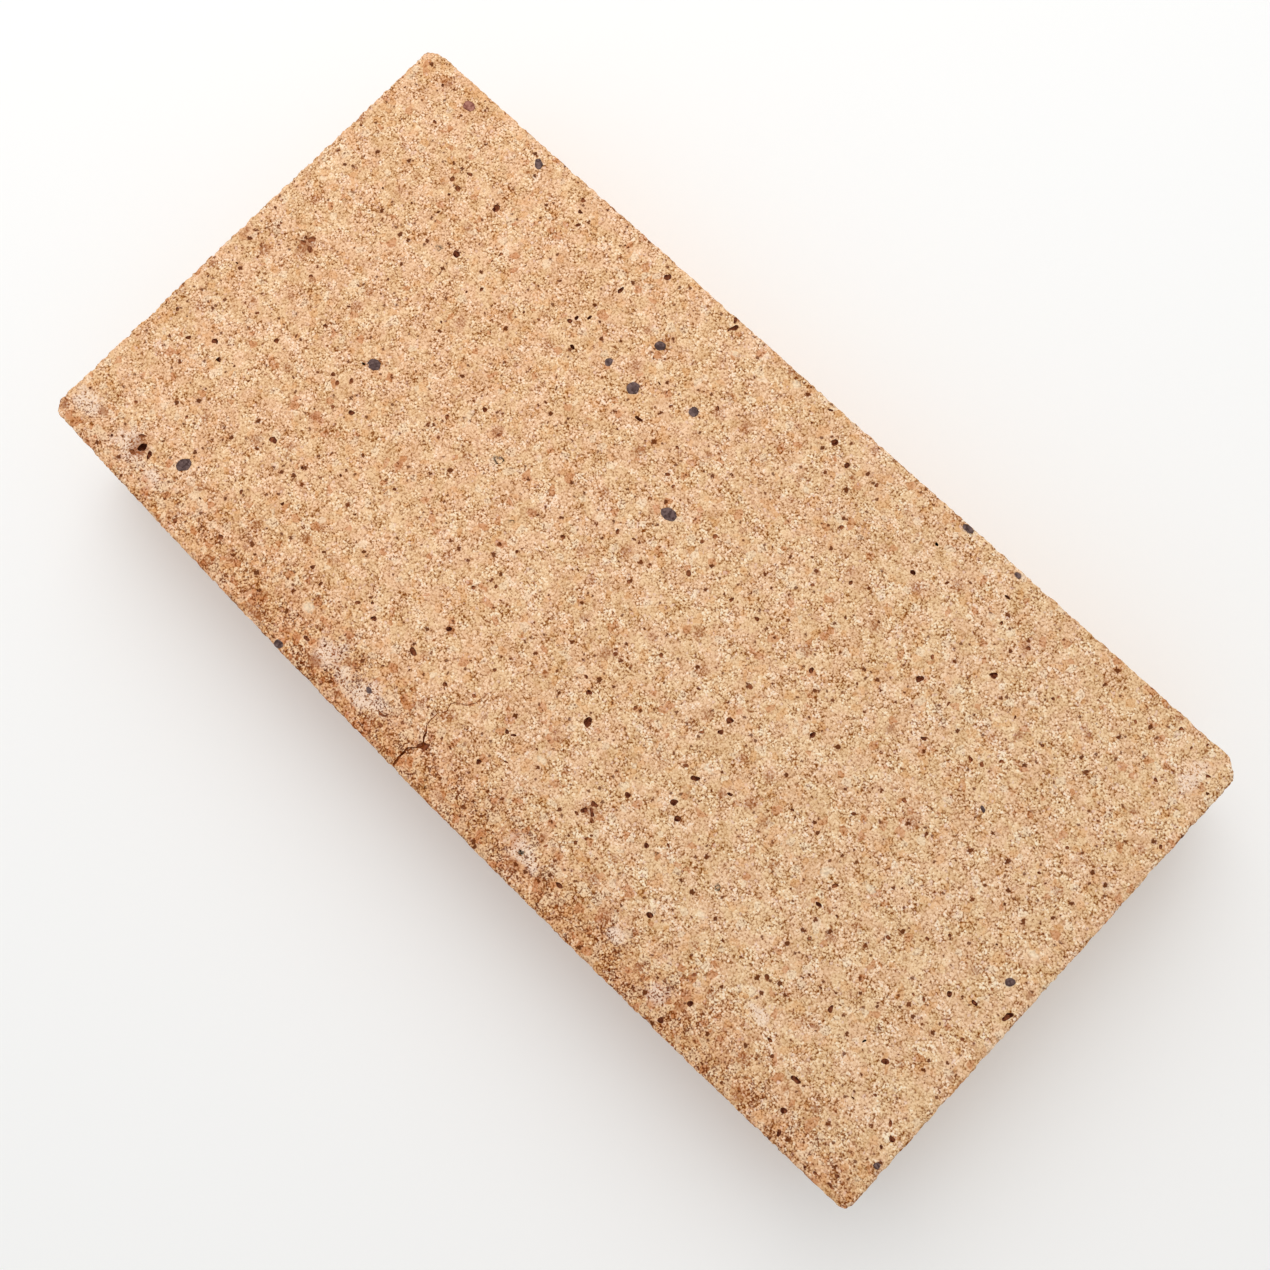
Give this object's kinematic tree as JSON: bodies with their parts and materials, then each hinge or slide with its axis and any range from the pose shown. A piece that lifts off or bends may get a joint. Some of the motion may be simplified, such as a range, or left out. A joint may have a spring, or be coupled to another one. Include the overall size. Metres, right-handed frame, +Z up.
{
  "type": "refractory firebrick",
  "caption": "Thin rectangular split firebrick of dense fireclay, one long side bowed slightly outwards, chipped at its corners, with a short drying crack and small pits on the upper bed face.",
  "frame": {"origin": "bottom centre of the brick's box, where its lower bed face rests on the ground", "axes": "+X along the length, +Y towards the straight long side, away from the bowed side, +Z up out of the chipped and cracked upper bed face"},
  "size_m": [0.229, 0.116, 0.032],
  "materials": {
    "fireclay": "matte, unglazed, sandy tan with dark iron spots"
  },
  "bodies": {
    "root": {"firebrick": "fireclay"}
  },
  "joints": []
}
